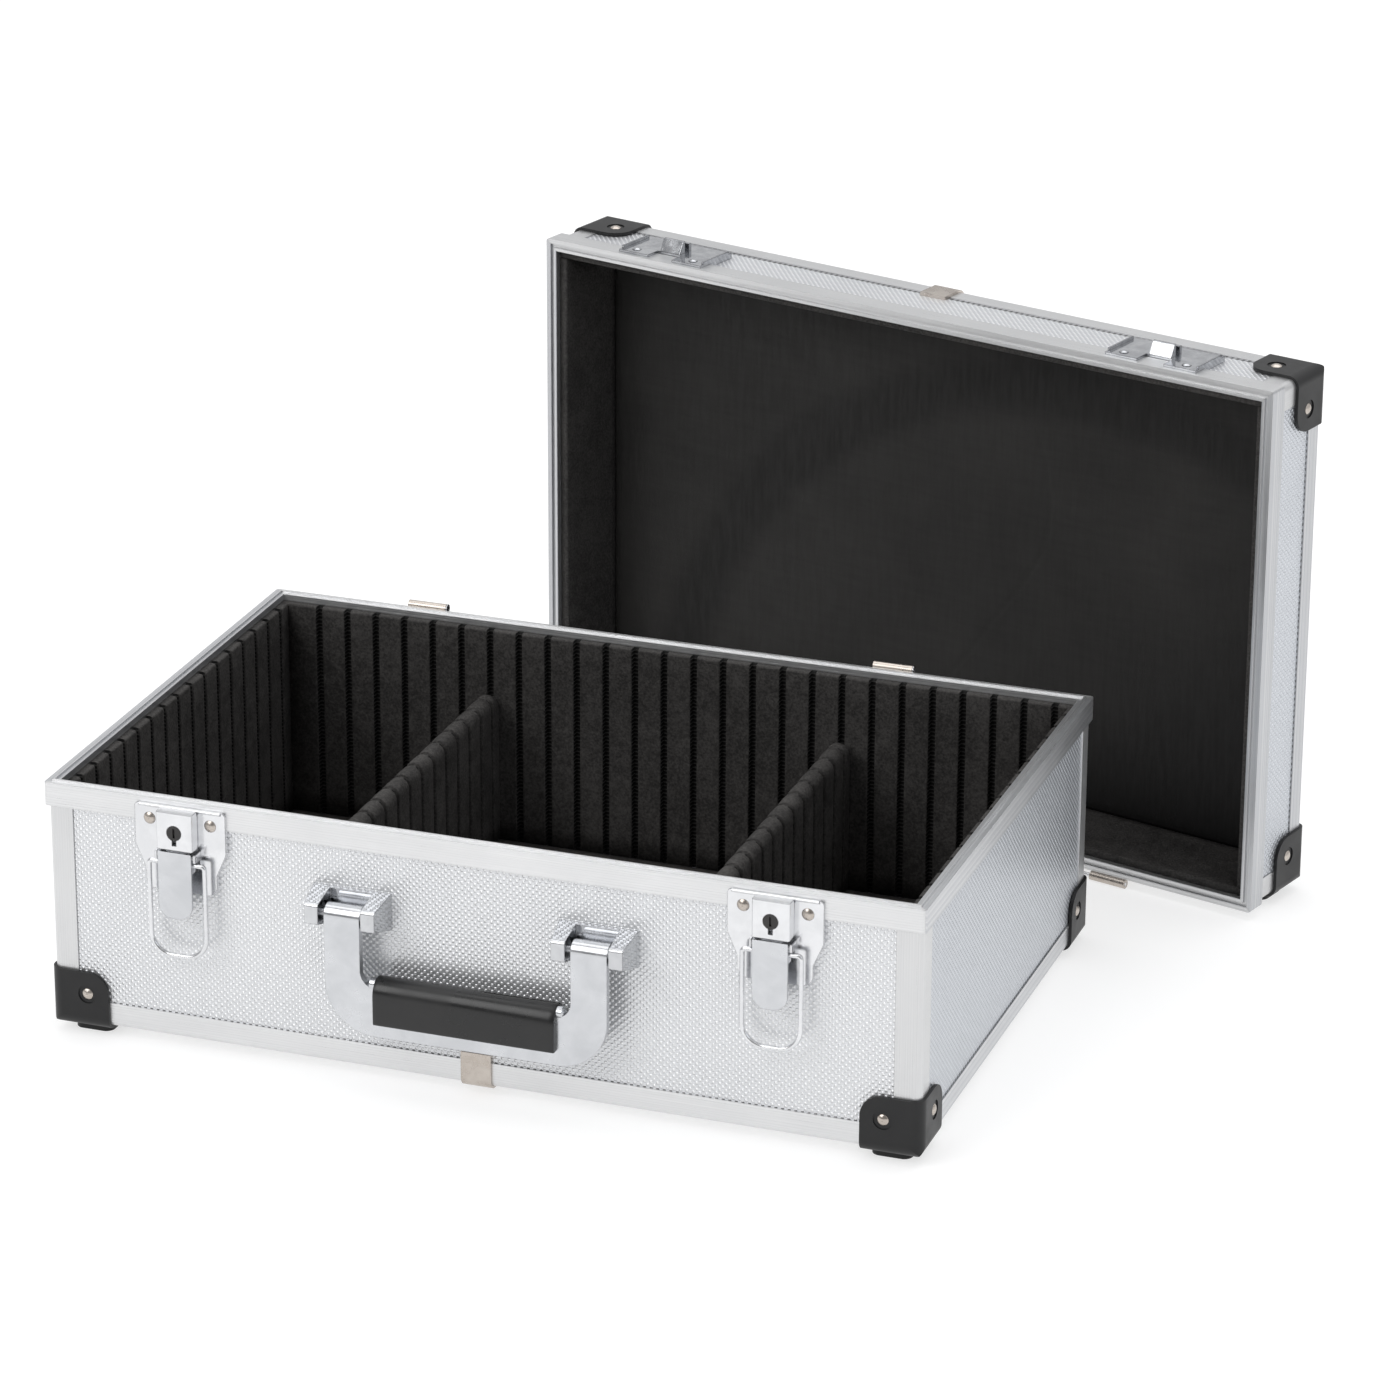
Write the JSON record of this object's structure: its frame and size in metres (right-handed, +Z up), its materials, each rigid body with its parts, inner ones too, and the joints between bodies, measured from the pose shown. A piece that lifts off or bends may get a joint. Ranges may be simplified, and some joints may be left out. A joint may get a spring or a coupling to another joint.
{
  "type": "record carrying case",
  "caption": "Aluminium record carrying case with a lift-off hinged lid, latches with wire loops, a folding handle, black foam lining with slots and lift-out dividers.",
  "frame": {"origin": "in the middle of the underside of the base's bottom panel, 7.2 mm above the surface the feet stand on", "axes": "+X along the base's length to the right of someone facing the latches, +Y towards the hinges, +Z up"},
  "size_m": [0.5877, 0.5672, 0.324],
  "materials": {
    "panel": "embossed sheet with small raised diamonds, satin",
    "extrusion": "satin, fine lines along its length",
    "chrome": "bright plated steel",
    "nickel": "nickel plated, satin",
    "protector": "matte, faint grain",
    "lock": "smooth",
    "foam": "black flocked foam",
    "board": "black board",
    "grip": "soft black moulding, satin"
  },
  "bodies": {
    "base": {"base_front_panel": "panel", "base_back_panel": "panel", "base_left_panel": "panel", "base_right_panel": "panel", "base_bottom_panel": "panel", "base_rim": "extrusion", "base_corner_posts": "extrusion", "base_bottom_edges": "extrusion", "base_corner_protectors": "protector", "base_protector_rivets": "nickel", "base_edge_clip": "nickel", "front_liner": "foam", "back_liner": "foam", "end_liners": "foam", "floor_pad": "foam", "base_hinge_leaves": "nickel", "handle_left_bracket": "chrome", "handle_right_bracket": "chrome", "bracket_screws": "nickel", "handle_pins": "nickel", "left_latch_plate": "chrome", "right_latch_plate": "chrome", "left_latch_housing": "chrome", "right_latch_housing": "chrome", "base_hardware_rivets": "nickel", "lever_pins": "nickel"},
    "left_divider": {"left_divider_board": "board", "left_divider_foam": "foam"},
    "right_divider": {"right_divider_board": "board", "right_divider_foam": "foam"},
    "left_lever": {"left_latch_lever": "chrome"},
    "right_lever": {"right_latch_lever": "chrome"},
    "left_loop": {"left_latch_loop": "chrome"},
    "right_loop": {"right_latch_loop": "chrome"},
    "left_lock": {"left_lock_plug": "lock", "left_lock_cam": "nickel"},
    "right_lock": {"right_lock_plug": "lock", "right_lock_cam": "nickel"},
    "handle": {"handle_bow": "chrome", "handle_grip": "grip"},
    "bushes": {"hinge_bushes": "lock"},
    "lid_pivot": {"lid_pivot_rivet": "nickel"},
    "lid": {"lid_front_panel": "panel", "lid_back_panel": "panel", "lid_left_panel": "panel", "lid_right_panel": "panel", "lid_top_panel": "panel", "lid_rim": "extrusion", "lid_corner_posts": "extrusion", "lid_top_edges": "extrusion", "lid_corner_protectors": "protector", "lid_protector_rivets": "nickel", "lid_edge_clip": "nickel", "lid_top_pad": "foam", "lid_side_liners": "foam", "lid_hinge_leaves": "nickel", "lid_hardware_rivets": "nickel", "left_catch": "chrome", "right_catch": "chrome", "hinge_pins": "nickel"}
  },
  "joints": [
    {"name": "lid_swing", "type": "hinge", "parent": "base", "child": "bushes", "pos_m": [0, 0.1577, 0.138], "axis": [1, 0, 0], "range_deg": [0, 90]},
    {"name": "lid_lift", "type": "slide", "parent": "bushes", "child": "lid_pivot", "axis": [-0.4754, -0.4255, 0.77], "range_m": [0, 0.18506]},
    {"name": "lid_turn", "type": "hinge", "parent": "lid_pivot", "child": "lid", "pos_m": [0.21398, 0.24515, -0.0018], "axis": [0, 0, 1], "range_deg": [0, 15.3]},
    {"name": "left_lever_lift", "type": "hinge", "parent": "base", "child": "left_lever", "pos_m": [-0.1655, -0.1625, 0.1098], "axis": [1, 0, 0], "range_deg": [-105, 0]},
    {"name": "left_loop_swing", "type": "hinge", "parent": "left_lever", "child": "left_loop", "pos_m": [-0.1655, -0.162, 0.1056], "axis": [-1, 0, 0], "range_deg": [0, 183.9]},
    {"name": "left_lock_turn", "type": "hinge", "parent": "base", "child": "left_lock", "pos_m": [-0.1655, -0.161, 0.1236], "axis": [0, 1, 0], "range_deg": [0, 90]},
    {"name": "right_lever_lift", "type": "hinge", "parent": "base", "child": "right_lever", "pos_m": [0.1655, -0.1625, 0.1098], "axis": [1, 0, 0], "range_deg": [-105, 0]},
    {"name": "right_loop_swing", "type": "hinge", "parent": "right_lever", "child": "right_loop", "pos_m": [0.1655, -0.162, 0.1056], "axis": [-1, 0, 0], "range_deg": [0, 183.9]},
    {"name": "right_lock_turn", "type": "hinge", "parent": "base", "child": "right_lock", "pos_m": [0.1655, -0.161, 0.1236], "axis": [0, 1, 0], "range_deg": [0, 90]},
    {"name": "handle_swing", "type": "hinge", "parent": "base", "child": "handle", "pos_m": [0, -0.1635, 0.0913], "axis": [-1, 0, 0], "range_deg": [0, 95]},
    {"name": "left_divider_lift", "type": "slide", "parent": "base", "child": "left_divider", "axis": [0, 0, -1], "range_m": [-0.16, 0]},
    {"name": "right_divider_lift", "type": "slide", "parent": "base", "child": "right_divider", "axis": [0, 0, -1], "range_m": [-0.16, 0]}
  ],
  "couplings": [
    {"joint": "lid_turn", "follows": "lid_lift", "rad_per_m": 1.443}
  ]
}
